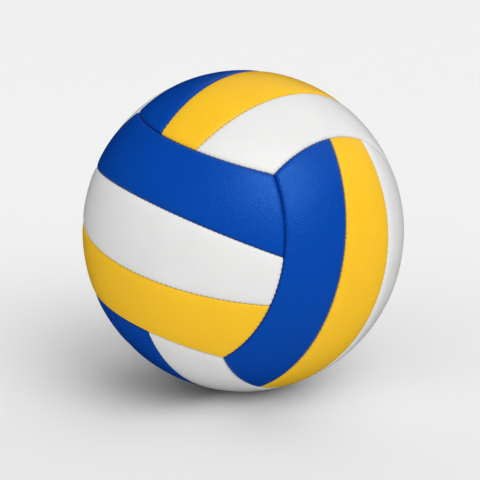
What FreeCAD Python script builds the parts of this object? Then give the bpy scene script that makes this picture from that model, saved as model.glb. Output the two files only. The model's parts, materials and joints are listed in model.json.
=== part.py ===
"""An indoor volleyball, built as the real one is put together.

A rubber bladder with its valve sits in a cloth lining, and a cover of eighteen
padded panels is sewn edge to edge round them. The panels lie in six groups of
three strips, one group on each side of the ball, as on the faces of a cube.

Millimetres, +Z up. The origin is the middle of the ball, and the ball lies as it
does when it is set down, so its lowest point touches the ground.
"""
import FreeCAD, Part
import math
import os

Vector = FreeCAD.Vector
Rotation = FreeCAD.Rotation
CENTRE = Vector(0, 0, 0)

# Layers of the ball, from the outside in
BALL_DIAMETER = 210.0        # 660 mm round; the rules of the game allow 650 to 670
COVER_THICKNESS = 0.8        # grained synthetic leather
FOAM_THICKNESS = 1.8         # padding under each panel
LINING_THICKNESS = 0.4       # woven cloth
BLADDER_THICKNESS = 0.5      # butyl rubber
GLUE_LINE = 0.1              # between one layer and the next

# Where the seams run, in degrees of arc seen from the middle of the ball
LONG_SEAM_MIDDLE = 34.9      # a group's long side, from its middle line, at half length
STRIP_SEAM_MIDDLE = 12.5     # the seam between two strips, at half length
STRIP_SEAM_END = 8.6         # the same seam where it meets the next group

# The sewn edges
SEAM_GAP = 0.3               # between the turned-in edges of two panels
EDGE_ROUND = 1.6             # how softly the leather turns in at a seam
THREAD_DIAMETER = 0.6
THREAD_CLEARANCE = 0.05      # between the thread and the leather it lies on
THREAD_END_SETBACK = 3.0     # how far a thread stops short of the seam it runs into

# The valve, in the middle of one group
VALVE_GROUP = "back_right"
NECK_DIAMETER = 8.0
NECK_RECESS = 0.5            # the valve's face lies this far below the leather
STEM_LENGTH = 7.0            # the neck's reach into the bladder, below its flange
FLANGE_DIAMETER = 26.0
FLANGE_THICKNESS = 1.2
PATCH_DIAMETER = 34.0
PATCH_THICKNESS = 0.4
VALVE_HOLE_CLEARANCE = 0.2   # round the neck, in every layer that it passes through
VALVE_HOLE_ROUND = 0.35
PLUG_DIAMETER = 4.8
PLUG_CLEARANCE = 0.05        # between the plug and the neck's bore
PLUG_RECESS = 0.4            # the plug's face lies this far below the neck's
PLUG_FOOT_DIAMETER = 6.6
PLUG_FOOT_LENGTH = 2.5
NEEDLE_BORE_DIAMETER = 2.0
NEEDLE_BORE_DEPTH = 12.0

# How the ball lies: it is turned about X, then Y, then Z
REST_TURN = -43.8
REST_PITCH = 11.3
REST_ROLL = -9.7

# Each group: the side of the ball that it covers, and the way across its strips
GROUPS = {
    "front_left": (Vector(0, -1, 0), Vector(0, 0, 1)),
    "front_right": (Vector(1, 0, 0), Vector(0, 1, 0)),
    "top": (Vector(0, 0, 1), Vector(1, 0, 0)),
    "bottom": (Vector(0, 0, -1), Vector(1, 0, 0)),
    "back_left": (Vector(-1, 0, 0), Vector(0, 1, 0)),
    "back_right": (Vector(0, 1, 0), Vector(0, 0, 1)),
}

# Radii of the layers
COVER_OUTSIDE = BALL_DIAMETER / 2
COVER_INSIDE = COVER_OUTSIDE - COVER_THICKNESS
FOAM_OUTSIDE = COVER_INSIDE - GLUE_LINE
FOAM_INSIDE = FOAM_OUTSIDE - FOAM_THICKNESS
LINING_OUTSIDE = FOAM_INSIDE - GLUE_LINE
LINING_INSIDE = LINING_OUTSIDE - LINING_THICKNESS
BLADDER_OUTSIDE = LINING_INSIDE - GLUE_LINE
BLADDER_INSIDE = BLADDER_OUTSIDE - BLADDER_THICKNESS

# A cutting body reaches well past the layers that it cuts
CUT_INSIDE = 0.8 * COVER_OUTSIDE
CUT_OUTSIDE = 1.2 * COVER_OUTSIDE

TOUCHING = 0.001             # an edge this near to a ball or a ring lies on it

# In a group's own axes, X runs along the strips, Y across them and Z outwards
ALONG = Vector(1, 0, 0)
ACROSS = Vector(0, 1, 0)
OUTWARDS = Vector(0, 0, 1)

# A strip's corners in order, each by its way along and across the strips
CORNERS = ((-1, -1), (1, -1), (1, 1), (-1, 1))


class Circle:
    """A circle on the ball: the axis that it runs round, and its angle from that axis."""

    def __init__(self, axis, angle):
        self.axis = axis
        self.angle = angle

    def hub(self):
        """The middle of the circle, on a ball of radius 1."""
        return self.axis * math.cos(math.radians(self.angle))

    def moved(self, distance):
        """The circle grown by a distance on the ball."""
        return Circle(self.axis, self.angle + math.degrees(distance / COVER_OUTSIDE))

    def half_turned(self):
        """The circle after half a turn round the group's outward axis."""
        return Circle(Rotation(OUTWARDS, 180) * self.axis, self.angle)

    def halfway(self, start, end):
        """The point of the circle halfway between two of its points."""
        hub = self.hub()
        aside = ((start + end) * 0.5 - hub).normalize()
        return hub + aside * math.sin(math.radians(self.angle))

    def crossing(self, other, beside):
        """The point where two circles cross, the one nearer to a direction."""
        lean = self.axis.dot(other.axis)
        height = math.cos(math.radians(self.angle))
        other_height = math.cos(math.radians(other.angle))
        foot = self.axis * (height - other_height * lean) + other.axis * (other_height - height * lean)
        foot = foot * (1 / (1 - lean * lean))
        out = self.axis.cross(other.axis).normalize() * math.sqrt(1 - foot.dot(foot))
        return max(foot + out, foot - out, key=beside.dot)


def on_ball(latitude):
    """The point at half length, this many degrees from the group's middle line."""
    angle = math.radians(latitude)
    return Vector(0, math.sin(angle), math.cos(angle))


def seam_through(middle, end):
    """The seam through two points. Its plane holds the way along the strips."""
    step = end - middle
    axis = Vector(0, step.z, -step.y)
    if axis.y < 0:
        axis = axis * -1
    return Circle(axis.normalize(), math.degrees(axis.getAngle(middle)))


def long_seam():
    """A group's long side: from one corner of the cube to the next."""
    corner = Vector(1, 1, 1).normalize()
    return seam_through(on_ball(LONG_SEAM_MIDDLE), corner)


def end_seam(way):
    """The seam at a group's end, which is the next group's long side."""
    side = long_seam()
    return Circle(Vector(way * side.axis.z, 0, side.axis.y), side.angle)


def strip_seam_end():
    """Where a seam between two strips meets the next group."""
    middle_line = Circle(ACROSS, 90 - STRIP_SEAM_END)
    return middle_line.crossing(end_seam(1), ALONG)


def strip_seam():
    """The seam between two strips."""
    return seam_through(on_ball(STRIP_SEAM_MIDDLE), strip_seam_end())


def outline(strip, setback):
    """The four circles round a strip, set back from its seams, in order."""
    ends = [end_seam(way).moved(-setback) for way in (-1, 1)]
    if strip == "edge":
        low, high = strip_seam().moved(-setback), long_seam().moved(setback)
    else:
        high = strip_seam().moved(setback)
        low = high.half_turned()
    return [ends[0], low, ends[1], high]


def ball_face(radius, edges):
    """The part of a ball of this radius inside some edges on it."""
    ball = Part.makeSphere(radius)
    ball.rotate(CENTRE, ACROSS, 90)
    face = Part.Face(ball.Faces[0].Surface, Part.Wire(edges))
    face.validate()
    return face


def plate(strip, inside, outside, setback, rounding):
    """One strip between two radii, set back from the seams, its outer edges rounded."""
    circles = outline(strip, setback)
    corners = []
    for circle, following, (along, across) in zip(circles, circles[1:] + circles[:1], CORNERS):
        corners.append(circle.crossing(following, ALONG * along + ACROSS * across + OUTWARDS))
    outer_edges = []
    inner_edges = []
    walls = []
    for circle, start, end in zip(circles, corners[-1:] + corners[:-1], corners):
        halfway = circle.halfway(start, end)
        outer = Part.Arc(start * outside, halfway * outside, end * outside).toShape()
        inner = Part.Arc(start * inside, halfway * inside, end * inside).toShape()
        outer_edges.append(outer)
        inner_edges.append(inner)
        walls.append(Part.makeRuledSurface(outer, inner))
    shell = Part.Shell(walls + [ball_face(outside, outer_edges), ball_face(inside, inner_edges)])
    if Part.Solid(shell).Orientation == "Reversed":
        shell.reverse()
    body = Part.Solid(shell)
    rim = [edge for edge in body.Edges if lies_at(edge, outside)]
    return body.makeFillet(rounding, rim).Solids[0]


def lies_at(edge, radius):
    """Whether an edge lies on a ball of this radius."""
    middle = edge.valueAt((edge.FirstParameter + edge.LastParameter) / 2)
    return abs(middle.Length - radius) < TOUCHING


def ball_shell(inside, outside):
    """A hollow ball whose poles lie along the strips."""
    shell = Part.makeSphere(outside).cut(Part.makeSphere(inside))
    shell.rotate(CENTRE, ACROSS, 90)
    return shell


def cover_panel(strip):
    """A leather strip with its edges turned in as deep as the padding."""
    edge = SEAM_GAP / 2
    skin = plate(strip, FOAM_INSIDE, COVER_OUTSIDE, edge, EDGE_ROUND)
    hollow = plate(strip, LINING_OUTSIDE, COVER_INSIDE, edge + COVER_THICKNESS,
                   EDGE_ROUND - COVER_THICKNESS)
    return skin.cut(hollow).Solids[0]


def foam_pad(strip):
    """The padding that fills a cover panel between its turned-in edges."""
    inset = COVER_THICKNESS + GLUE_LINE
    return plate(strip, FOAM_INSIDE, FOAM_OUTSIDE, SEAM_GAP / 2 + inset, EDGE_ROUND - inset)


def post(diameter, low, high):
    """A round post that stands outwards between two heights above the centre."""
    return Part.makeCylinder(diameter / 2, high - low, OUTWARDS * low, OUTWARDS)


def valve_hole():
    """The hole that every layer has round the valve's neck."""
    return post(NECK_DIAMETER + 2 * VALVE_HOLE_CLEARANCE, CUT_INSIDE, CUT_OUTSIDE)


def domed_disc(diameter, inside, outside):
    """A disc that follows the ball between two radii."""
    return ball_shell(inside, outside).common(post(diameter, CUT_INSIDE, CUT_OUTSIDE)).Solids[0]


def cover_with_hole(panel):
    """The panel that the valve shows in, with the edge of its hole softened."""
    holed = panel.cut(valve_hole()).Solids[0]
    hole_radius = NECK_DIAMETER / 2 + VALVE_HOLE_CLEARANCE
    lip = []
    for edge in holed.Edges:
        start = edge.valueAt(edge.FirstParameter)
        beside_hole = abs(math.hypot(start.x, start.y) - hole_radius) < TOUCHING
        if beside_hole and lies_at(edge, COVER_OUTSIDE):
            lip.append(edge)
    return holed.makeFillet(VALVE_HOLE_ROUND, lip).Solids[0]


def foam_with_hole(pad):
    """The padding there, cut back for the neck and for the patch beneath it."""
    room = domed_disc(PATCH_DIAMETER + 2 * VALVE_HOLE_CLEARANCE, LINING_INSIDE,
                      LINING_OUTSIDE + PATCH_THICKNESS + 2 * GLUE_LINE)
    return pad.cut(room).cut(valve_hole()).Solids[0]


def valve_patch():
    """The round patch that holds the lining together where the neck comes through."""
    low = LINING_OUTSIDE + GLUE_LINE
    return domed_disc(PATCH_DIAMETER, low, low + PATCH_THICKNESS).cut(valve_hole()).Solids[0]


def lining():
    """The cloth ball round the bladder."""
    return ball_shell(LINING_INSIDE, LINING_OUTSIDE).cut(valve_hole()).Solids[0]


def bladder():
    """The rubber ball that holds the air."""
    return ball_shell(BLADDER_INSIDE, BLADDER_OUTSIDE).cut(valve_hole()).Solids[0]


def neck_top():
    """Height of the valve's face above the centre."""
    return COVER_OUTSIDE - NECK_RECESS


def neck_foot():
    """Height of the neck's inner end above the centre."""
    return BLADDER_INSIDE - GLUE_LINE - FLANGE_THICKNESS - STEM_LENGTH


def valve_body():
    """The flange under the bladder's wall, and the neck that stands through it."""
    top = BLADDER_INSIDE - GLUE_LINE
    flange = domed_disc(FLANGE_DIAMETER, top - FLANGE_THICKNESS, top)
    neck = post(NECK_DIAMETER, neck_foot(), neck_top())
    bore = post(PLUG_DIAMETER + 2 * PLUG_CLEARANCE, neck_foot(), neck_top())
    return flange.fuse(neck).cut(bore).Solids[0]


def valve_plug():
    """The soft plug in the neck, with the blind bore that a needle goes into."""
    top = neck_top() - PLUG_RECESS
    foot = neck_foot() - PLUG_CLEARANCE
    stem = post(PLUG_DIAMETER, foot, top)
    bulb = post(PLUG_FOOT_DIAMETER, foot - PLUG_FOOT_LENGTH, foot)
    bore = post(NEEDLE_BORE_DIAMETER, top - NEEDLE_BORE_DEPTH, top)
    return stem.fuse(bulb).cut(bore).Solids[0]


def thread_depth():
    """How deep the middle of a thread lies, resting on the two rounded edges."""
    aside = SEAM_GAP / 2 + EDGE_ROUND
    reach = EDGE_ROUND + THREAD_CLEARANCE + THREAD_DIAMETER / 2
    return EDGE_ROUND - math.sqrt(reach * reach - aside * aside)


def thread(seam, latitude, end):
    """The sewing thread along a seam: a thin ring's arc in the bottom of the groove."""
    middle = on_ball(latitude)
    radius = COVER_OUTSIDE * math.sin(math.radians(seam.angle))
    half_turn = math.degrees((middle - seam.hub()).getAngle(end - seam.hub()))
    half_turn -= math.degrees(THREAD_END_SETBACK / radius)
    place = middle * (COVER_OUTSIDE - thread_depth())
    section = Part.Face(Part.Wire(Part.Circle(place, ALONG, THREAD_DIAMETER / 2).toShape()))
    section.rotate(CENTRE, seam.axis, -half_turn)
    return section.revolve(CENTRE, seam.axis, 2 * half_turn)


def group_threads():
    """The four threads of a group: two between its strips and one on each long side."""
    between = thread(strip_seam(), STRIP_SEAM_MIDDLE, strip_seam_end())
    beside = thread(long_seam(), LONG_SEAM_MIDDLE, Vector(1, 1, 1).normalize())
    threads = []
    for one in (between, beside):
        other = one.copy()
        other.rotate(CENTRE, OUTWARDS, 180)
        threads += [one, other]
    return Part.Compound(threads)


def set_in_place(shape, group, half_turn=False):
    """Turn a shape from a group's own axes to where the group lies on the ball."""
    outwards, across = GROUPS[group]
    on_side = Rotation(across.cross(outwards), across, outwards, "ZYX")
    spin = Rotation(OUTWARDS, 180 if half_turn else 0)
    at_rest = Rotation(REST_TURN, REST_PITCH, REST_ROLL)
    placed = shape.copy()
    placed.Placement = FreeCAD.Placement(CENTRE, at_rest * on_side * spin)
    return placed


def layers_of_group(group, covers, pads):
    """The three cover panels and three foam pads of a group, by name."""
    nodes = {}
    for layer, shapes in (("cover", covers), ("foam", pads)):
        nodes[f"{layer}_{group}_edge_a"] = set_in_place(shapes["edge"], group, True)
        nodes[f"{layer}_{group}_middle"] = set_in_place(shapes["middle"], group)
        nodes[f"{layer}_{group}_edge_b"] = set_in_place(shapes["edge"], group)
    return nodes


def ball():
    """Every piece of the ball, by name."""
    covers = {strip: cover_panel(strip) for strip in ("edge", "middle")}
    pads = {strip: foam_pad(strip) for strip in ("edge", "middle")}
    threads = group_threads()
    nodes = {}
    for group in GROUPS:
        nodes.update(layers_of_group(group, covers, pads))
        nodes[f"thread_{group}"] = set_in_place(threads, group)
    valve_pieces = {
        f"cover_{VALVE_GROUP}_middle": cover_with_hole(covers["middle"]),
        f"foam_{VALVE_GROUP}_middle": foam_with_hole(pads["middle"]),
        "valve_patch": valve_patch(),
        "lining": lining(),
        "bladder": bladder(),
        "valve_body": valve_body(),
        "valve_plug": valve_plug(),
    }
    for name, piece in valve_pieces.items():
        nodes[name] = set_in_place(piece, VALVE_GROUP)
    return nodes


os.makedirs("parts", exist_ok=True)
for name, piece in ball().items():
    piece.exportStep(f"parts/{name}.step")
    print(f"{name}: {len(piece.Solids)} solid(s), {piece.Volume / 1000:.2f} cm3")
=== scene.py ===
import collections
import json
import math

import bpy
import numpy as np
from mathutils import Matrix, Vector

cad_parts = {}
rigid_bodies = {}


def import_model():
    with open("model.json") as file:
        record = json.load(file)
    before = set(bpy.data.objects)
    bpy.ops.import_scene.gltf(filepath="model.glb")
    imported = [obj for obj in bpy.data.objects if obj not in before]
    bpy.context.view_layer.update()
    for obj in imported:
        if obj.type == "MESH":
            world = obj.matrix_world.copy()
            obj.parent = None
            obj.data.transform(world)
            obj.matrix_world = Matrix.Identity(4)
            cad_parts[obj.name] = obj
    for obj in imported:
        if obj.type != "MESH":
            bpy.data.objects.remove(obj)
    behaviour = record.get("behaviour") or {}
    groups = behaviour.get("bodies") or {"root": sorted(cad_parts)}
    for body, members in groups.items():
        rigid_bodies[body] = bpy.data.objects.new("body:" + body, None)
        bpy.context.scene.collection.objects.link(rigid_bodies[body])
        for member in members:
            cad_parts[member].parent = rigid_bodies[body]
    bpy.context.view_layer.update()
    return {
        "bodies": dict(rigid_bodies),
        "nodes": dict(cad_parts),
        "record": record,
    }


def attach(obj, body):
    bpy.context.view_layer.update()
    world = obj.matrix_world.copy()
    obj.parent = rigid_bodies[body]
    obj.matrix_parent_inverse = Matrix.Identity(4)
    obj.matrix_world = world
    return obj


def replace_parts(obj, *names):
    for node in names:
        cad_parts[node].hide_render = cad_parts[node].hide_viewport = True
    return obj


# An indoor volleyball: eighteen padded leather panels with stitched, pulled-in seams, and a
# rubber valve, on a pale studio floor. Lengths on the ball are in millimetres until a mesh
# is made, and metres from there on.

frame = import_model()
mounts = {mount["name"]: mount for mount in frame["record"]["mounts"]}
BODY = next(iter(frame["bodies"]))
MM = 0.001

# The ball and how it lies, as in the frame
BALL_RADIUS = -mounts["floor_rest"]["pos_m"][2] / MM
REST_TURN = -43.8            # degrees about Z, after the pitch about Y and the roll about X
REST_PITCH = 11.3
REST_ROLL = -9.7

# Where the seams run, in degrees of arc seen from the middle of the ball
LONG_SEAM_MIDDLE = 34.9      # a group's long side, from its middle line, at half length
STRIP_SEAM_MIDDLE = 12.5     # the seam between two strips, at half length
STRIP_SEAM_END = 8.6         # the same seam where it meets the next group

# Each group: the side of the ball that it covers, the way across its strips, and its colours
GROUPS = {
    "front_left": ((0, -1, 0), (0, 0, 1), ("yellow", "white", "blue")),
    "front_right": ((1, 0, 0), (0, 1, 0), ("blue", "yellow", "white")),
    "top": ((0, 0, 1), (1, 0, 0), ("blue", "yellow", "white")),
    "bottom": ((0, 0, -1), (1, 0, 0), ("blue", "blue", "white")),
    "back_left": ((-1, 0, 0), (0, 1, 0), ("white", "yellow", "blue")),
    "back_right": ((0, 1, 0), (0, 0, 1), ("yellow", "blue", "white")),
}
STRIPS = ("edge_a", "middle", "edge_b")
VALVE_GROUP = "back_right"

# The leather and what is under it
LEATHER = 0.8
GLUE_LINE = 0.1
FOAM = 1.8
FOAM_INSIDE = BALL_RADIUS - LEATHER - GLUE_LINE - FOAM
HALF_GAP = 0.05              # from a seam's middle to the leather's edge
FOLD_WIDTH = 2.4             # where the leather turns in at a seam, seen from outside
FOLD_DEPTH = 1.15
SAG_DEPTH = 0.4              # how far the sewing pulls the whole edge down
SAG_WIDTH = 3.6
PUCKER_DEPTH = 0.5           # how much further it pulls at each stitch
PUCKER_WIDTH = 1.3
CORNER_ROUND = 1.3           # a panel's corner, seen from outside
STITCH = 3.4                 # one stitch, before it is fitted to its seam

# The thread: its lacing swings to both sides of the seam, and lies deepest at the turns
THREAD_RADIUS = 0.3
THREAD_SWING = 0.75
THREAD_SLACK = 0.1           # 0 would make the turns square
THREAD_DEPTH = 1.6           # below the round ball, where it crosses the seam
THREAD_DIP = 0.5             # how much deeper it is at the turns
THREAD_ENDS = 1              # whole stitches left out at each end of a seam
THREAD_STEPS = 8             # along one stitch
THREAD_SIDES = 6

# Grid lines of a panel: whole numbers of coarse cells, each this many fine cells wide
COARSE = 6
CELLS_ALONG = 60 * COARSE
CELLS_ACROSS = 16 * COARSE
FOLD_LINES = 9               # fine cells over the turned-in edge
HOLE_CELLS = 3 * COARSE      # from the middle of the valve panel to the edge of its round patch
HOLE_RINGS = 14
RING_GRADING = 1.6           # above 1, the rings crowd towards the hole

# The valve and its hole: radii about its own axis, heights above the middle of the ball, and
# the depths and widths of their edges
HOLE_RADIUS = 4.2            # through the leather
HOLE_ROUND = 0.5
HOLE_FOOT = BALL_RADIUS - LEATHER - 0.3   # the height of its lower rim
HOLE_DIP = 0.2               # how far the leather sinks round the hole
HOLE_DIP_WIDTH = 2.5
NECK_RADIUS = 4.0
NECK_TOP = BALL_RADIUS - 0.5
NECK_FOOT = BALL_RADIUS - 12.1
NECK_LIP = 0.1
NECK_ROUND = 0.35
BLADDER_INSIDE = BALL_RADIUS - 3.9
FLANGE_RADIUS = 13.0
FLANGE_THICKNESS = 1.2
FLANGE_BEND = 8.5
FLANGE_RIM = 1.0
PLUG_RADIUS = 2.4
PLUG_TOP = NECK_TOP - 0.4
PLUG_FUNNEL = 0.5            # how deep the funnel for the needle is
PLUG_LIP = 0.3
PLUG_ROUND = 0.3
BORE_RADIUS = PLUG_RADIUS + 0.05
NEEDLE_RADIUS = 1.0
NEEDLE_DEPTH = 12
SLIT_RADIUS = 0.02
HEAD_RADIUS = 3.3            # the plug's head, under the neck
HEAD_GAP = 0.1
HEAD_HEIGHT = 2.5
LATHE_STEPS = 96
ROUNDING_POINTS = 5


# ---------------------------------------------------------------- geometry on the ball

Seam = collections.namedtuple("Seam", "axis angle middle half_length")
Seam.__doc__ = """A circle on a ball of radius 1: every point lies at one angle from its axis.
middle is the point at half length, and half_length is in millimetres on the real ball."""


def unit(vectors):
    """Each vector divided by its length."""
    return vectors / np.linalg.norm(vectors, axis=-1, keepdims=True)


def on_ball(latitude):
    """The point at half length of a group, this many degrees from its middle line."""
    angle = math.radians(latitude)
    return np.array([0, math.sin(angle), math.cos(angle)])


def seam_ways(seam):
    """The two directions square to a seam's axis: towards its middle, and along it there."""
    ahead = unit(seam.middle - seam.axis * (seam.middle @ seam.axis))
    return ahead, np.cross(seam.axis, ahead)


def azimuth(seam, points):
    """Angle of points round a seam's axis, zero at the seam's middle and in radians."""
    ahead, aside = seam_ways(seam)
    return np.arctan2(points @ aside, points @ ahead)


def seam_between(middle, end):
    """The seam through its middle and its end. Its plane holds the way along the strips."""
    step = end - middle
    axis = unit(np.array([0, step[2], -step[1]]))
    axis = axis * (1 if axis[1] > 0 else -1)
    seam = Seam(axis, math.acos(axis @ middle), middle, None)
    return seam._replace(half_length=length_along(seam, end))


def length_along(seam, points):
    """Millimetres along a seam from its middle: the azimuth times the circle's radius."""
    return azimuth(seam, points) * math.sin(seam.angle) * BALL_RADIUS


def moved(seam, distance):
    """The seam grown by this many millimetres on the ball."""
    return seam._replace(angle=seam.angle + distance / BALL_RADIUS)


def half_turned(seam):
    """The seam after half a turn round the group's outward axis."""
    turn = np.array([-1, -1, 1])
    return seam._replace(axis=seam.axis * turn, middle=seam.middle * turn)


def crossing(seam, other, beside):
    """Where two circles cross, nearest to a direction. The foot lies in both their planes and
    in the plane of their axes, and the crossing is out from it at right angles."""
    lean = seam.axis @ other.axis
    height, other_height = math.cos(seam.angle), math.cos(other.angle)
    foot = seam.axis * (height - other_height * lean)
    foot = (foot + other.axis * (other_height - height * lean)) / (1 - lean * lean)
    out = unit(np.cross(seam.axis, other.axis)) * math.sqrt(1 - foot @ foot)
    return max(foot + out, foot - out, key=lambda point: point @ beside)


def end_seam(side, way):
    """The seam at a group's end, which is the next group's long side."""
    axis = np.array([way * side.axis[2], 0, side.axis[1]])
    middle = np.array([way * side.middle[2], 0, side.middle[1]])
    return side._replace(axis=axis, middle=middle)


LONG_SEAM = seam_between(on_ball(LONG_SEAM_MIDDLE), unit(np.ones(3)))
END_SEAMS = (end_seam(LONG_SEAM, -1), end_seam(LONG_SEAM, 1))
STRIP_END = crossing(Seam(np.array([0, 1, 0]), math.radians(90 - STRIP_SEAM_END), None, None),
                     END_SEAMS[1], np.array([1, 0, 0]))
STRIP_SEAM = seam_between(on_ball(STRIP_SEAM_MIDDLE), STRIP_END)

# The seams round each strip: its start, its low side, its far end and its high side. The sign
# is 1 where the strip lies outside the seam's circle.
OUTLINES = {
    "edge": ((END_SEAMS[0], -1), (STRIP_SEAM, -1), (END_SEAMS[1], -1), (LONG_SEAM, 1)),
    "middle": ((END_SEAMS[0], -1), (half_turned(STRIP_SEAM), 1), (END_SEAMS[1], -1),
               (STRIP_SEAM, 1)),
}


def arc(seam, start, end, shares):
    """Points of a circle at shares of the way from one of its points to another: the hub plus
    the circle's radius, turned from the first azimuth to the second."""
    first, last = azimuth(seam, start), azimuth(seam, end)
    turn = (first + (last - first) * shares)[:, None]
    hub = seam.axis * math.cos(seam.angle)
    ahead, aside = seam_ways(seam)
    return hub + math.sin(seam.angle) * (ahead * np.cos(turn) + aside * np.sin(turn))


def patch(strip, setback, along, across):
    """Directions over a strip, on a grid of shares along it and across it. This is a Coons
    patch: the blend of the two sides plus the blend of the two ends less the blend of the
    four corners, put back on the ball."""
    start, low, finish, high = [moved(seam, sign * setback) for seam, sign in OUTLINES[strip]]
    corner = {}
    for end, way in ((start, -1), (finish, 1)):
        for side, aside in ((low, -1), (high, 1)):
            corner[way, aside] = crossing(end, side, np.array([way, aside, 1]))
    u, v = along[:, None, None], across[None, :, None]
    sides = (1 - v) * arc(low, corner[-1, -1], corner[1, -1], along)[:, None]
    sides = sides + v * arc(high, corner[-1, 1], corner[1, 1], along)[:, None]
    ends = (1 - u) * arc(start, corner[-1, -1], corner[-1, 1], across)[None]
    ends = ends + u * arc(finish, corner[1, -1], corner[1, 1], across)[None]
    low_corners = (1 - u) * corner[-1, -1] + u * corner[1, -1]
    high_corners = (1 - u) * corner[-1, 1] + u * corner[1, 1]
    return unit(sides + ends - (1 - v) * low_corners - v * high_corners)


def graded(cells, length):
    """Shares of a length at which a panel's grid lines lie: even in the middle, and at even
    angles of the fold's quarter ellipse at both ends."""
    fold = FOLD_WIDTH * (1 - np.cos(np.linspace(0, math.pi / 2, FOLD_LINES + 1))) / length
    middle = np.linspace(fold[-1], 1 - fold[-1], cells - 2 * FOLD_LINES + 1)
    return np.concatenate([fold[:-1], middle, 1 - fold[-2::-1]])


def edge_distances(strip, directions):
    """Millimetres from points to the strip's four edges, and along each edge's seam. Half of a
    seam's circle lies over the far side of the strip, where the edge counts as far away."""
    distances, lengths = [], []
    for seam, sign in OUTLINES[strip]:
        angle = np.arccos(np.clip(directions @ seam.axis, -1, 1))
        distance = sign * (angle - seam.angle) * BALL_RADIUS - HALF_GAP
        near = np.abs(azimuth(seam, directions)) < math.pi / 2
        distances.append(np.where(near, distance, BALL_RADIUS))
        lengths.append(length_along(seam, directions))
    return distances, lengths


def stitches_in(seam):
    """The whole number of stitches that a seam takes."""
    return round(2 * seam.half_length / STITCH)


def stitch_phase(seam, lengths):
    """Stitches counted from the seam's start, so that each one is at a whole number plus a half."""
    return (lengths + seam.half_length) / (2 * seam.half_length) * stitches_in(seam)


def nearest_edge(distances):
    """Distance to the panel's outline with its corners rounded: inside a corner's square it is
    the radius less the distance to the corner's centre, and elsewhere that to the nearer edge."""
    ends = np.minimum(distances[0], distances[2])
    sides = np.minimum(distances[1], distances[3])
    inside = np.hypot(np.maximum(CORNER_ROUND - ends, 0), np.maximum(CORNER_ROUND - sides, 0))
    nearer = np.minimum(ends, sides)
    return np.where(nearer < CORNER_ROUND, CORNER_ROUND - inside, nearer)


def leather_depth(strip, directions):
    """How far the leather lies below the round ball: a quarter ellipse at its edge, a broad bell
    of the sewing's pull, and at each stitch a small bell along and across the seam."""
    distances, lengths = edge_distances(strip, directions)
    edge = nearest_edge(distances)
    across_fold = 1 - np.clip(edge / FOLD_WIDTH, 0, 1)
    depth = FOLD_DEPTH * (1 - np.sqrt(1 - across_fold ** 2)) - np.minimum(edge, 0)
    depth = depth + SAG_DEPTH * np.exp(-(np.maximum(edge, 0) / SAG_WIDTH) ** 2)
    for (seam, _), distance, length in zip(OUTLINES[strip], distances, lengths):
        beside = 0.5 - 0.5 * np.cos(2 * math.pi * stitch_phase(seam, length))
        depth = depth + PUCKER_DEPTH * beside ** 3 * np.exp(-(distance / PUCKER_WIDTH) ** 2)
    return np.minimum(depth, BALL_RADIUS - FOAM_INSIDE), edge


def turn_matrix(axis, degrees):
    """Rotation about a row axis, 0 to 2, as a matrix for column vectors."""
    cosine, sine = math.cos(math.radians(degrees)), math.sin(math.radians(degrees))
    first, second = (axis + 1) % 3, (axis + 2) % 3
    matrix = np.eye(3)
    matrix[first, first] = matrix[second, second] = cosine
    matrix[second, first], matrix[first, second] = sine, -sine
    return matrix


AT_REST = turn_matrix(2, REST_TURN) @ turn_matrix(1, REST_PITCH) @ turn_matrix(0, REST_ROLL)


def set_in_place(points, group, half_turn):
    """Points in millimetres, turned from a group's own axes to where the group lies."""
    outwards, across, _ = (np.array(value) for value in GROUPS[group])
    outwards, across = outwards.astype(float), across.astype(float)
    on_side = np.stack([np.cross(across, outwards), across, outwards], axis=1)
    spin = np.array([-1, -1, 1]) if half_turn else np.ones(3)
    return (points * spin) @ (AT_REST @ on_side).T


# ---------------------------------------------------------------- meshes


class Surface:
    """Points, faces and one value a point, put together from grids and rings."""

    def __init__(self):
        self.points, self.values, self.faces, self.count = [], [], [], 0

    def place(self, points, values=0.0):
        """Add an array of points, and return their numbers in the same layout."""
        layout = points.shape[:-1]
        numbers = self.count + np.arange(math.prod(layout)).reshape(layout)
        self.points.append(points.reshape(-1, 3))
        self.values.append(np.broadcast_to(values, layout).ravel())
        self.count += numbers.size
        return numbers

    def tile(self, grid, hole=0, inward=False):
        """Four-sided faces over a grid of numbers, less a middle square of so many cells."""
        quads = np.stack([grid[:-1, :-1], grid[1:, :-1], grid[1:, 1:], grid[:-1, 1:]], axis=-1)
        keep = np.ones(quads.shape[:2], bool)
        if hole:
            rows, columns = (size // 2 for size in keep.shape)
            keep[rows - hole:rows + hole, columns - hole:columns + hole] = False
        quads = quads[keep]
        self.faces.append(quads[:, ::-1] if inward else quads)

    def join(self, upper, lower):
        """Faces from a ring down to another. The rings run anticlockwise seen from outside, and
        the one with more points has a whole number of them for each point of the other."""
        many = len(upper) // len(lower)
        starts = np.arange(len(lower)) * many
        above = upper[(starts[:, None] + np.arange(many, -1, -1)) % len(upper)]
        below = np.stack([lower, np.roll(lower, -1)], axis=1)
        self.faces.append(np.concatenate([above, below], axis=1))

    def join_up(self, lower, upper):
        """The same where the lower ring has more points, as at the foot of a hole."""
        many = len(lower) // len(upper)
        starts = np.arange(len(upper)) * many
        below = lower[(starts[:, None] + np.arange(many + 1)) % len(lower)]
        above = np.stack([np.roll(upper, -1), upper], axis=1)
        self.faces.append(np.concatenate([below, above], axis=1))

    def made(self, name, group, half_turn=False, value_name=None):
        """The object, with its points turned into place and in metres, and with its values
        as an attribute if that has a name."""
        points = set_in_place(np.concatenate(self.points), group, half_turn)
        thing = mesh_object(name, points * MM, self.faces)
        if value_name:
            layer = thing.data.attributes.new(value_name, "FLOAT", "POINT")
            layer.data.foreach_set("value", np.concatenate(self.values).astype(np.float32))
        return thing


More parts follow.
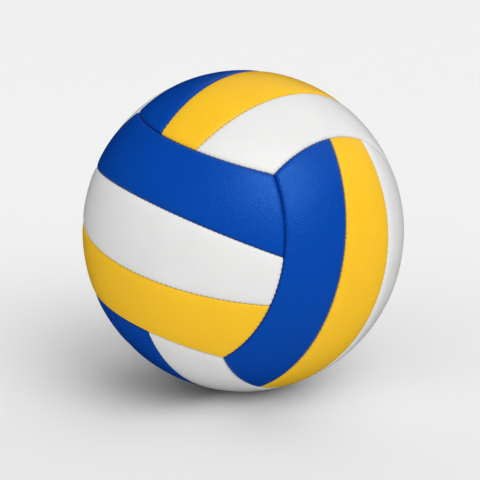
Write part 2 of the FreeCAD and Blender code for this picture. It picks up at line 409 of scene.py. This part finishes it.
def mesh_object(name, points, face_sets):
    """A smooth-shaded mesh from an array of points and arrays of faces."""
    corners = np.concatenate([faces.ravel() for faces in face_sets])
    sides = np.concatenate([np.full(len(faces), faces.shape[1]) for faces in face_sets])
    mesh = bpy.data.meshes.new(name)
    mesh.vertices.add(len(points))
    mesh.vertices.foreach_set("co", points.ravel())
    mesh.loops.add(len(corners))
    mesh.loops.foreach_set("vertex_index", corners)
    mesh.polygons.add(len(sides))
    mesh.polygons.foreach_set("loop_start", np.cumsum(sides) - sides)
    mesh.polygons.foreach_set("use_smooth", np.ones(len(sides), bool))
    mesh.update(calc_edges=True)
    mesh.validate()
    thing = bpy.data.objects.new(name, mesh)
    bpy.context.collection.objects.link(thing)
    return thing


def rim(grid, hole=0):
    """The numbers round a grid, or round its middle square, anticlockwise from outside."""
    if hole:
        rows, columns = (size // 2 for size in grid.shape)
        grid = grid[rows - hole:rows + hole + 1, columns - hole:columns + hole + 1]
    return np.concatenate([grid[:-1, 0], grid[-1, :-1], grid[:0:-1, -1], grid[0, :0:-1]])


def panel_lines(strip):
    """The shares along and across a strip at which the fine grid's lines lie."""
    middle = np.array([0.5])
    across_middle = patch(strip, HALF_GAP, middle, np.array([0.0, 1.0]))
    along_middle = patch(strip, HALF_GAP, np.array([0.0, 1.0]), middle)
    width = BALL_RADIUS * math.acos(across_middle[0, 0] @ across_middle[0, 1])
    length = BALL_RADIUS * math.acos(along_middle[0, 0] @ along_middle[1, 0])
    return graded(CELLS_ALONG, length), graded(CELLS_ACROSS, width)


def leather_panel(strip, holed=False):
    """A leather panel in its group's axes: the grained skin on a fine grid, its edge turned in
    down to the lining, and its underside on a coarse grid one leather thickness below."""
    surface = Surface()
    along, across = panel_lines(strip)
    hole = HOLE_CELLS if holed else 0
    skin = patch(strip, HALF_GAP, along, across)
    depth, edge = leather_depth(strip, skin)
    top = surface.place(skin * (BALL_RADIUS - depth)[..., None], edge)
    surface.tile(top, hole)
    under = patch(strip, HALF_GAP + LEATHER, along[::COARSE], across[::COARSE])
    depth, _ = leather_depth(strip, under)
    lower = surface.place(under * (BALL_RADIUS - depth - LEATHER)[..., None])
    surface.tile(lower, hole // COARSE, inward=True)
    outer_foot = patch(strip, HALF_GAP, along[::COARSE], across[::COARSE]) * FOAM_INSIDE
    outer_foot = surface.place(outer_foot.reshape(-1, 3)[rim(lattice(lower))])
    inner_foot = surface.place((under * FOAM_INSIDE).reshape(-1, 3)[rim(lattice(lower))])
    surface.join(rim(top), outer_foot)
    surface.join(outer_foot, inner_foot)
    surface.join(inner_foot, rim(lower))
    if holed:
        add_hole(surface, skin, under, top, lower)
    return surface


def lattice(grid):
    """The places of a grid's points in its own flat order."""
    return np.arange(grid.size).reshape(grid.shape)


def add_hole(surface, skin, under, top, lower):
    """The round patch about the valve: rings from a square of the grid in to the hole. The
    leather sinks there in a bell and turns down in a quarter circle, and then goes through its
    thickness and out again underneath."""
    square = skin.reshape(-1, 3)[rim(lattice(top), HOLE_CELLS)]
    turn = np.arctan2(square[:, 1], square[:, 0])
    reach = np.hypot(square[:, 0], square[:, 1])
    shares = np.linspace(1, 0, HOLE_RINGS + 1)[1:, None] ** RING_GRADING
    radius = HOLE_RADIUS / BALL_RADIUS + (reach - HOLE_RADIUS / BALL_RADIUS) * shares
    rings = polar(radius, turn)
    distance = np.arcsin(radius) * BALL_RADIUS - HOLE_RADIUS
    fold = HOLE_ROUND - np.clip(distance, 0, HOLE_ROUND)
    depth = HOLE_ROUND - np.sqrt(HOLE_ROUND ** 2 - fold ** 2)
    depth = depth + HOLE_DIP * np.exp(-(distance / HOLE_DIP_WIDTH) ** 2)
    numbers = surface.place(rings * (BALL_RADIUS - depth)[..., None], FOLD_WIDTH + distance)
    outer = rim(top, HOLE_CELLS)
    for ring in numbers:
        surface.join(ring, outer)
        outer = ring
    corner_turn = turn[::COARSE]
    foot = polar(np.full(len(corner_turn), HOLE_RADIUS / BALL_RADIUS), corner_turn)
    foot = surface.place(foot * HOLE_FOOT)
    surface.join_up(outer, foot)
    surface.join(rim(lower, HOLE_CELLS // COARSE), foot)


def polar(radius, turn):
    """Directions at a sideways distance from the group's outward axis and an angle round it."""
    height = np.sqrt(1 - radius ** 2)
    return np.stack([radius * np.cos(turn), radius * np.sin(turn), height], axis=-1)


def foam_pad(strip, holed=False):
    """The padding under a panel: two coarse grids that follow the leather's underside and the
    lining, joined round their edge."""
    surface = Surface()
    lines = [shares[::COARSE // 2] for shares in panel_lines(strip)]
    setback = HALF_GAP + LEATHER + GLUE_LINE
    directions = patch(strip, setback, *lines)
    depth, _ = leather_depth(strip, directions)
    upper = surface.place(directions * (BALL_RADIUS - depth - LEATHER - GLUE_LINE)[..., None])
    lower = surface.place(directions * FOAM_INSIDE)
    hole = 2 * HOLE_CELLS // COARSE if holed else 0
    surface.tile(upper, hole)
    surface.tile(lower, hole, inward=True)
    surface.join(rim(upper), rim(lower))
    if holed:
        surface.join(rim(lower, hole), rim(upper, hole))
    return surface


# ---------------------------------------------------------------- the leather cover


def cover_ball(leathers, foam):
    """Every panel and pad, each in place of its node."""
    for group, (_, _, colours) in GROUPS.items():
        for strip, colour in zip(STRIPS, colours):
            shape = "middle" if strip == "middle" else "edge"
            holed = group == VALVE_GROUP and strip == "middle"
            name = f"{group}_{strip}"
            turned = strip == "edge_a"
            panel = leather_panel(shape, holed).made(f"leather_{name}", group, turned, "edge")
            panel.data.materials.append(leathers[colour])
            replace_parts(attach(panel, BODY), f"cover_{name}")
            pad = foam_pad(shape, holed).made(f"padding_{name}", group, turned)
            pad.data.materials.append(foam)
            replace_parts(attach(pad, BODY), f"foam_{name}")


def blue_beside(group, half_turn, at_side, lengths):
    """1 where blue leather lies beside a seam, and 0 elsewhere. A group's long side meets the
    ends of the next group's three strips."""
    outwards, across, colours = GROUPS[group]
    own = colours[0 if half_turn else 2]
    if not at_side:
        return np.full(len(lengths), float("blue" in (own, colours[1])))
    way = -1 if half_turn else 1
    beyond = next(value for value in GROUPS.values() if value[0] == tuple(way * np.array(across)))
    place = lengths * (way * np.cross(across, outwards) @ np.array(beyond[1]))
    border = math.radians(STRIP_SEAM_END) * BALL_RADIUS
    strip = 1 + (place > border).astype(int) - (place < -border)
    return np.array([float("blue" in (own, colour)) for colour in beyond[2]])[strip]


def stitched_thread(surface, group, half_turn, at_side):
    """One thread laced along a seam. Its middle swings across the groove at each stitch as a
    squared-off sine and is deepest at the turns, and a six-sided ring is carried along it."""
    seam = LONG_SEAM if at_side else STRIP_SEAM
    seam = half_turned(seam) if half_turn else seam
    count = stitches_in(seam)
    steps = (count - 2 * THREAD_ENDS) * THREAD_STEPS
    phase = np.linspace(THREAD_ENDS, count - THREAD_ENDS, steps + 1)
    length = (phase / count * 2 - 1) * seam.half_length
    swing = np.sin(math.pi * (phase - 0.5))
    aside = THREAD_SWING * swing / np.sqrt(swing ** 2 + THREAD_SLACK)
    deep = THREAD_DEPTH + THREAD_DIP * swing ** 2
    around = length / (math.sin(seam.angle) * BALL_RADIUS)
    angle = seam.angle + aside / BALL_RADIUS
    ahead, along = seam_ways(seam)
    out = ahead * np.cos(around)[:, None] + along * np.sin(around)[:, None]
    directions = seam.axis * np.cos(angle)[:, None] + out * np.sin(angle)[:, None]
    path = directions * (BALL_RADIUS - deep)[:, None]
    forward = unit(np.gradient(path, axis=0))
    side = unit(np.cross(forward, directions))
    up = np.cross(side, forward)
    turn = np.arange(THREAD_SIDES) * 2 * math.pi / THREAD_SIDES
    tube = side[:, None] * np.cos(turn)[:, None] + up[:, None] * np.sin(turn)[:, None]
    dark = blue_beside(group, half_turn, at_side, length)
    numbers = surface.place(path[:, None] + tube * THREAD_RADIUS, dark[:, None])
    following = np.roll(numbers, -1, axis=1)
    quads = np.stack([numbers[:-1], numbers[1:], following[1:], following[:-1]], axis=-1)
    surface.faces += [quads.reshape(-1, 4), numbers[:1], numbers[-1:, ::-1]]


def sew_ball(thread):
    """The threads of every group, each in place of its node."""
    for group in GROUPS:
        surface = Surface()
        for half_turn in (False, True):
            for at_side in (False, True):
                stitched_thread(surface, group, half_turn, at_side)
        sewing = surface.made(f"stitching_{group}", group, value_name="dark")
        sewing.data.materials.append(thread)
        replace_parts(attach(sewing, BODY), f"thread_{group}")


# ---------------------------------------------------------------- the valve


def lathe(name, profile):
    """A closed solid of revolution about the valve's axis: a closed profile of radii and
    heights, turned through evenly spaced angles."""
    surface = Surface()
    radius, height = np.array(profile).T
    turn = np.arange(LATHE_STEPS) * 2 * math.pi / LATHE_STEPS
    points = np.stack([radius[:, None] * np.cos(turn), radius[:, None] * np.sin(turn),
                       np.broadcast_to(height[:, None], (len(radius), LATHE_STEPS))], axis=-1)
    numbers = surface.place(points)
    for ring, following in zip(numbers, np.roll(numbers, -1, axis=0)):
        surface.join(ring, following)
    return surface.made(name, VALVE_GROUP)


def rounded(corners, rounding):
    """A closed profile with its corners turned to arcs: each is cut back along both its sides
    and bridged by a quadratic curve."""
    corners = np.array(corners, float)
    share = np.linspace(0, 1, ROUNDING_POINTS)[:, None]
    points = []
    for before, corner, after in zip(np.roll(corners, 1, axis=0), corners,
                                     np.roll(corners, -1, axis=0)):
        sides = before - corner, after - corner
        reach = min(rounding, *(np.linalg.norm(side) / 3 for side in sides))
        first, last = (corner + unit(side) * reach for side in sides)
        bridge = (1 - share) ** 2 * first + 2 * share * (1 - share) * corner
        points.append(bridge + share ** 2 * last)
    return np.concatenate(points)


def dome(radius, ball):
    """Height of a ball's surface at a distance from the valve's axis."""
    return math.sqrt(ball * ball - radius * radius)


def neck_profile():
    """The neck from its foot up, with the flange that lies against the inside of the bladder
    and is thinner from its bend to its rim."""
    flange = [(radius, dome(radius, BLADDER_INSIDE - below)) for radius, below in (
        (NECK_RADIUS, FLANGE_THICKNESS), (FLANGE_BEND, FLANGE_THICKNESS),
        (FLANGE_RADIUS, FLANGE_RIM), (FLANGE_RADIUS, 0), (FLANGE_BEND, 0), (NECK_RADIUS, 0))]
    return rounded([(BORE_RADIUS, NECK_FOOT), (NECK_RADIUS, NECK_FOOT), *flange,
                    (NECK_RADIUS, NECK_TOP), (BORE_RADIUS, NECK_TOP - NECK_LIP)], NECK_ROUND)


def plug_profile():
    """The plug from the end of the needle's bore up, over its funnel, down outside to the head
    below the neck, and in to the slit that the needle opens."""
    shoulder = PLUG_TOP - PLUG_FUNNEL
    head_top, head_foot = NECK_FOOT - HEAD_GAP, NECK_FOOT - HEAD_HEIGHT
    return rounded([(NEEDLE_RADIUS, PLUG_TOP - NEEDLE_DEPTH), (NEEDLE_RADIUS, shoulder),
                    (PLUG_RADIUS - PLUG_LIP, PLUG_TOP), (PLUG_RADIUS, shoulder),
                    (PLUG_RADIUS, head_top), (HEAD_RADIUS, head_top), (HEAD_RADIUS, head_foot),
                    (SLIT_RADIUS, head_foot), (SLIT_RADIUS, PLUG_TOP - NEEDLE_DEPTH)], PLUG_ROUND)


def fit_valve(rubber, soft_rubber):
    """The neck with its flange, and the plug, each in place of its node."""
    body = lathe("valve_neck", neck_profile()[::-1])
    core = lathe("valve_core", plug_profile())
    for piece, node, slot, material in ((body, "valve_body", "valve", rubber),
                                        (core, "valve_plug", "valve_plug", soft_rubber)):
        piece.data.materials.append(material)
        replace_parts(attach(piece, BODY), node)


# ---------------------------------------------------------------- materials

# Colours are shares of red, green and blue. Scales of patterns are repeats a metre, and
# depths of relief are metres.
# Each leather's second colour is painted shade for the grooves of its seams; shaded is how many
# millimetres of the turned-in edge it covers
LEATHERS = {
    "blue": dict(colour=(0.0004, 0.070, 0.465), painted_seam_shade=(0.0004, 0.027, 0.26), shaded=1.4,
                 relief=0.6, lustre=0.12, gloss=0.6, tint=(0.35, 0.8, 1.0)),
    "yellow": dict(colour=(0.95, 0.55, 0.02), painted_seam_shade=(0.80, 0.42, 0.01)),
    "white": dict(colour=(0.78, 0.78, 0.775), painted_seam_shade=(0.74, 0.73, 0.71)),
}
SATIN = (0.2, 0.27)          # the leather's roughness, from spot to spot
CLOUDING = 0.96              # the share of its colour that is left where it is clouded
LINE_SHADE = 0.18            # how much of the painted seam shade darkens the grain's lines
FOLD_SHADE = 0.9             # and the turned-in edge at the seams, painted shade in the groove
PRESSED_WIDTH = 2.0          # millimetres of the edge where the grain is pressed flatter
PRESSED_RELIEF = 0.3
BRIGHTNESS = (0.21, 0.72, 0.07)   # how much red, green and blue count for
GRAIN_CELLS = 950.0
GRAIN_WANDER = 0.0006        # how far the cells are bent out of line
FINE_RELIEF = 0.0001         # grain and thread

NAVY_THREAD, PALE_THREAD = (0.001, 0.034, 0.21), (0.50, 0.45, 0.36)
FOAM_DARK, FOAM_LIGHT = (0.60, 0.59, 0.54), (0.80, 0.79, 0.74)
CLOTH_DARK, CLOTH_LIGHT = (0.45, 0.43, 0.38), (0.74, 0.72, 0.66)
BLACK = (0.0, 0.0, 0.0)


def opaque(colour):
    """A colour with full alpha."""
    return tuple(colour) + (1.0,)


def grey(value):
    """An even grey."""
    return (value,) * 3


class Nodes:
    """Short calls to make and link the nodes of one material or group."""

    def __init__(self, tree):
        self.tree = tree

    def add(self, kind, inputs=(), **settings):
        """A new node with its settings, and its inputs fed by label or by number."""
        node = self.tree.nodes.new(kind)
        for key, value in settings.items():
            setattr(node, key, value)
        for key, value in dict(inputs).items():
            self.feed(node.inputs[key], value)
        return node

    def feed(self, socket, value):
        """Link an input to an output, or set its value."""
        if isinstance(value, bpy.types.NodeSocket):
            self.tree.links.new(value, socket)
        else:
            socket.default_value = value

    def math(self, operation, first, second):
        """Two values put together by an operation."""
        return self.add("ShaderNodeMath", {0: first, 1: second}, operation=operation).outputs[0]

    def between(self, value, given, made=(0.0, 1.0)):
        """A value's smooth step from one range to another."""
        inputs = {"Value": value, "From Min": given[0], "From Max": given[1],
                  "To Min": made[0], "To Max": made[1]}
        return self.add("ShaderNodeMapRange", inputs, interpolation_type="SMOOTHSTEP").outputs[0]

    def mix(self, share, first, second):
        """The first colour with so much of the second."""
        node = self.add("ShaderNodeMix", {0: share, 6: first, 7: second}, data_type="RGBA")
        return node.outputs[2]

    def place(self):
        """Where a point lies in the frame."""
        return self.add("ShaderNodeTexCoord").outputs["Object"]

    def carried(self, name):
        """A value that the mesh carries at its points."""
        return self.add("ShaderNodeAttribute", attribute_name=name).outputs["Fac"]

    def noise(self, where, scale, detail):
        """Soft noise from 0 to 1."""
        inputs = {"Vector": where, "Scale": scale, "Detail": detail, "Roughness": 0.55}
        return self.add("ShaderNodeTexNoise", inputs).outputs["Fac"]

    def cells(self, where, scale, feature):
        """The distance in a pattern of cells: to a cell's centre, or to its edge."""
        inputs = {"Vector": where, "Scale": scale, "Randomness": 0.9}
        return self.add("ShaderNodeTexVoronoi", inputs, feature=feature).outputs["Distance"]


def node_group(name, inputs, outputs):
    """An empty shader node group with float inputs at their defaults and float outputs."""
    tree = bpy.data.node_groups.new(name, "ShaderNodeTree")
    for label, default in inputs.items():
        socket = tree.interface.new_socket(label, in_out="INPUT", socket_type="NodeSocketFloat")
        socket.default_value = default
    for label in outputs:
        tree.interface.new_socket(label, in_out="OUTPUT", socket_type="NodeSocketFloat")
    nodes = Nodes(tree)
    return tree, nodes, nodes.add("NodeGroupInput").outputs, nodes.add("NodeGroupOutput").inputs


def pebble_grain():
    """Leather grain: small rounded cells with sunk lines between them, over fine pores. The
    cells are bent out of line by a slower noise."""
    given_sockets = {"Cells per metre": GRAIN_CELLS}
    tree, nodes, given, made = node_group("pebble_grain", given_sockets, ("Height", "Valley"))
    where = nodes.place()
    wander = nodes.add("ShaderNodeTexNoise", {"Vector": where, "Scale": 500.0, "Detail": 2.0})
    bent = nodes.add("ShaderNodeVectorMath", {0: wander.outputs["Color"], 1: grey(GRAIN_WANDER)},
                     operation="MULTIPLY").outputs[0]
    bent = nodes.add("ShaderNodeVectorMath", {0: where, 1: bent}, operation="ADD").outputs[0]
    edge = nodes.cells(bent, given["Cells per metre"], "DISTANCE_TO_EDGE")
    raised = nodes.between(edge, (0.0, 0.28))
    pores = nodes.noise(where, scale=4200.0, detail=2.0)
    nodes.feed(made["Height"], nodes.math("ADD", raised, nodes.math("MULTIPLY", pores, 0.35)))
    nodes.feed(made["Valley"], nodes.between(edge, (0.0, 0.1), (1.0, 0.0)))
    return tree


def new_material(name):
    """An empty node material with a Principled shader on its output."""
    material = bpy.data.materials.new(name)
    material.use_nodes = True
    material.node_tree.nodes.clear()
    nodes = Nodes(material.node_tree)
    shader = nodes.add("ShaderNodeBsdfPrincipled")
    output = nodes.add("ShaderNodeOutputMaterial")
    nodes.feed(output.inputs["Surface"], shader.outputs[0])
    return material, nodes, shader


def finish(nodes, shader, tone, roughness, height, strength, relief):
    """Feed a shader its colour and its roughness, and the bump of a height."""
    inputs = {"Height": height, "Strength": strength, "Distance": relief}
    bump = nodes.add("ShaderNodeBump", inputs).outputs[0]
    for label, value in (("Base Color", tone), ("Roughness", roughness), ("Normal", bump)):
        nodes.feed(shader.inputs[label], value)


def leather(name, grain, colour, painted_seam_shade, shaded=0.35, relief=0.3, lustre=0.0, gloss=0.22,
            tint=grey(1.0)):
    """Coated leather: a satin skin with pebble grain, a little clouded. It takes the folded
    colour in the grain's lines and over so many shaded millimetres of its turned-in edge.
    Lustre is the share of the light that comes back as a highlight in the leather's own
    colour, and gloss the level of the highlight in the tint of its coat. To light that has
    bounced off a rough surface, the leather is a grey as bright as its colour, so that it
    leaves no colour on the floor."""
    material, nodes, shader = new_material(name)
    where = nodes.place()
    pebbles = nodes.add("ShaderNodeGroup", node_tree=grain)
    edge = nodes.carried("edge")
    clear = nodes.between(nodes.noise(where, scale=26.0, detail=3.0), (0.3, 0.7))
    clouded = opaque(CLOUDING * part for part in colour)
    # Painted shade: the grain's lines take a little of the darker seam-shade colour, and the
    # turned-in edge at the seams takes most of it
    lines = nodes.math("MULTIPLY", pebbles.outputs["Valley"], LINE_SHADE)
    painted_seam_shade_share = nodes.between(edge, (-0.1, shaded), (FOLD_SHADE, 0.0))
    bounced = nodes.add("ShaderNodeLightPath").outputs["Is Diffuse Ray"]
    as_bright = sum(share * part for share, part in zip(BRIGHTNESS, colour))
    tone = nodes.mix(clear, clouded, opaque(colour))
    tone = nodes.mix(lines, tone, opaque(painted_seam_shade))
    tone = nodes.mix(painted_seam_shade_share, tone, opaque(painted_seam_shade))
    tone = nodes.mix(bounced, tone, opaque(grey(as_bright)))
    rough = nodes.between(nodes.noise(where, scale=900.0, detail=2.0), (0.2, 0.8), SATIN)
    pressed = nodes.between(edge, (0.0, PRESSED_WIDTH), (PRESSED_RELIEF, 1.0))
    height = nodes.math("MULTIPLY", pebbles.outputs["Height"], pressed)
    shader.inputs["Specular IOR Level"].default_value = gloss
    shader.inputs["Specular Tint"].default_value = opaque(tint)
    shader.inputs["Metallic"].default_value = lustre
    finish(nodes, shader, tone, rough, height, relief, FINE_RELIEF)
    return material


def twisted_thread():
    """Waxed sewing thread with the close ridges of its twist. It is pale where it joins pale
    leathers, and navy beside blue."""
    material, nodes, shader = new_material("sewing_thread")
    fibre = nodes.noise(nodes.place(), scale=3000.0, detail=3.0)
    tone = nodes.mix(nodes.carried("dark"), opaque(PALE_THREAD), opaque(NAVY_THREAD))
    tone = nodes.mix(nodes.math("MULTIPLY", fibre, 0.5), tone, opaque(BLACK))
    finish(nodes, shader, tone, 0.6, fibre, 0.6, FINE_RELIEF)
    return material


def foam_material():
    """Fine-celled padding foam."""
    material, nodes, shader = new_material("padding_foam")
    bubbles = nodes.cells(nodes.place(), 1600.0, "F1")
    tone = nodes.mix(nodes.between(bubbles, (0.1, 0.6)), opaque(FOAM_DARK), opaque(FOAM_LIGHT))
    finish(nodes, shader, tone, 0.9, bubbles, 0.8, 0.0003)
    return material


def woven_cloth():
    """Plain weave for the lining: two sets of threads, over and under each other."""
    material, nodes, shader = new_material("lining_cloth")
    inputs = {"Vector": nodes.place(), "Scale": 260.0}
    bands = [nodes.add("ShaderNodeTexWave", inputs, bands_direction=way).outputs["Fac"]
             for way in ("X", "Z")]
    height = nodes.math("MAXIMUM", *bands)
    tone = nodes.mix(height, opaque(CLOTH_DARK), opaque(CLOTH_LIGHT))
    finish(nodes, shader, tone, 0.85, height, 0.7, 0.0002)
    return material


def rubber_material(name, colour, roughness):
    """Moulded rubber: nearly even, with a little dust in a fine texture."""
    material, nodes, shader = new_material(name)
    dust = nodes.noise(nodes.place(), scale=900.0, detail=4.0)
    dusty = opaque(part * 0.8 + 0.04 for part in colour)
    tone = nodes.mix(nodes.between(dust, (0.45, 0.8)), opaque(colour), dusty)
    rough = nodes.between(dust, (0.2, 0.8), (roughness - 0.08, roughness + 0.12))
    finish(nodes, shader, tone, rough, dust, 0.3, 0.00005)
    return material


def dress_inner_nodes():
    """Materials for the nodes that stay as they are."""
    finishes = {
        "lining": woven_cloth(),
        "bladder": rubber_material("bladder_rubber", (0.03, 0.03, 0.03), 0.55),
        "valve_patch": rubber_material("patch_rubber", (0.20, 0.19, 0.18), 0.7),
    }
    for node, material in finishes.items():
        for slot in frame["nodes"][node].material_slots:
            slot.material = material


# ---------------------------------------------------------------- the studio

CAMERA_HEIGHT = 14.0         # degrees above the ball
CAMERA_DISTANCE = 1.111
LENS = 127.1                 # millimetres, as is the sensor
SENSOR = 36.0
PICTURE = 480                # pixels a side
SHIFT = (-3.33 / PICTURE, -9.2 / PICTURE)

# Each lamp: its azimuth, elevation and spread in degrees, its strength, and whether it is in
# the highlights. Azimuth 0 is the camera's side, and it grows to the camera's right.
LAMPS = {
    "key": (34.0, 48.0, 44.0, 0.90, True),
    "low_key": (34.0, 32.0, 40.0, 0.41, False),
    "overhead": (30.0, 72.0, 50.0, 0.34, False),
    "fill": (-32.0, 28.0, 60.0, 0.44, False),
    "back": (140.0, 42.0, 80.0, 0.32, True),
}
AIR_STRENGTH = 0.48

FLOOR_REACH = 8.0
FLOOR_TONE = 0.93            # to the light that it bounces
SEEN_FROM, SEEN_TO = -0.3, 0.5     # its tone to the camera changes between these, along Y: a painted falloff of light
SEEN_NEAR, SEEN_FAR = 0.835, 0.9   # from the first of these tones to the second, painted darker near the camera


def aim(thing):
    """Turn a lamp or camera so that it looks at the middle of the ball."""
    thing.rotation_euler = (Vector() - thing.location).to_track_quat("-Z", "Y").to_euler()


def set_camera():
    """A long lens in front of the ball, aimed at its middle and shifted to frame it."""
    lens = bpy.data.cameras.new("camera")
    lens.lens, lens.sensor_width = LENS, SENSOR
    lens.shift_x, lens.shift_y = SHIFT
    camera = bpy.data.objects.new("camera", lens)
    bpy.context.collection.objects.link(camera)
    angle = math.radians(CAMERA_HEIGHT)
    camera.location = (0, -CAMERA_DISTANCE * math.cos(angle), CAMERA_DISTANCE * math.sin(angle))
    aim(camera)
    bpy.context.scene.camera = camera


def far_lamp(name, azimuth_angle, elevation, spread, strength, in_highlights):
    """A broad soft lamp, so far away that it lights the whole floor evenly."""
    turn, rise = math.radians(azimuth_angle), math.radians(elevation)
    light = bpy.data.lights.new(name, "SUN")
    light.angle, light.energy = math.radians(spread), strength
    lamp = bpy.data.objects.new(name, light)
    lamp.location = (math.cos(rise) * math.sin(turn), -math.cos(rise) * math.cos(turn),
                     math.sin(rise))
    lamp.visible_glossy = in_highlights
    bpy.context.collection.objects.link(lamp)
    aim(lamp)


def light_studio():
    """White air all round, which the highlights don't show, and the lamps."""
    world = bpy.data.worlds.new("studio_air")
    world.use_nodes = True
    backdrop = world.node_tree.nodes["Background"]
    backdrop.inputs["Color"].default_value = opaque(grey(1.0))
    backdrop.inputs["Strength"].default_value = AIR_STRENGTH
    bpy.context.scene.world = world
    world.cycles_visibility.glossy = False
    for name, placing in LAMPS.items():
        far_lamp(name, *placing)


def lay_floor():
    """A wide pale floor that touches the ball's lowest point. To the camera it is a little
    darker than to the light that it bounces, and paler with distance. The highlights don't
    show it."""
    height = -BALL_RADIUS * MM
    corners = np.array([(-FLOOR_REACH, -FLOOR_REACH, height), (FLOOR_REACH, -FLOOR_REACH, height),
                        (FLOOR_REACH, FLOOR_REACH, height), (-FLOOR_REACH, FLOOR_REACH, height)])
    floor = mesh_object("floor", corners, [np.array([[0, 1, 2, 3]])])
    material, nodes, shader = new_material("studio_floor")
    away = nodes.add("ShaderNodeSeparateXYZ", {0: nodes.place()}).outputs["Y"]
    # Painted shade: the floor's tone to the camera darkens towards the camera, standing in for
    # light falling off
    seen_with_painted_falloff = nodes.mix(nodes.between(away, (SEEN_FROM, SEEN_TO)),
                     opaque(grey(SEEN_NEAR)), opaque(grey(SEEN_FAR)))
    direct = nodes.add("ShaderNodeLightPath").outputs["Is Camera Ray"]
    nodes.feed(shader.inputs["Base Color"], nodes.mix(direct, opaque(grey(FLOOR_TONE)), seen_with_painted_falloff))
    shader.inputs["Roughness"].default_value = 0.9
    shader.inputs["Specular IOR Level"].default_value = 0.1
    floor.data.materials.append(material)
    floor.visible_glossy = False


# ---------------------------------------------------------------- everything together


def main():
    """The studio, then every piece of the ball from the outside in."""
    bpy.context.scene.view_settings.view_transform = "Standard"
    set_camera()
    light_studio()
    lay_floor()
    grain = pebble_grain()
    leathers = {name: leather(f"leather_{name}", grain, **look) for name, look in LEATHERS.items()}
    cover_ball(leathers, foam_material())
    sew_ball(twisted_thread())
    fit_valve(rubber_material("valve_rubber", (0.02, 0.02, 0.02), 0.45),
              rubber_material("valve_core_rubber", (0.10, 0.10, 0.10), 0.6))
    dress_inner_nodes()


main()
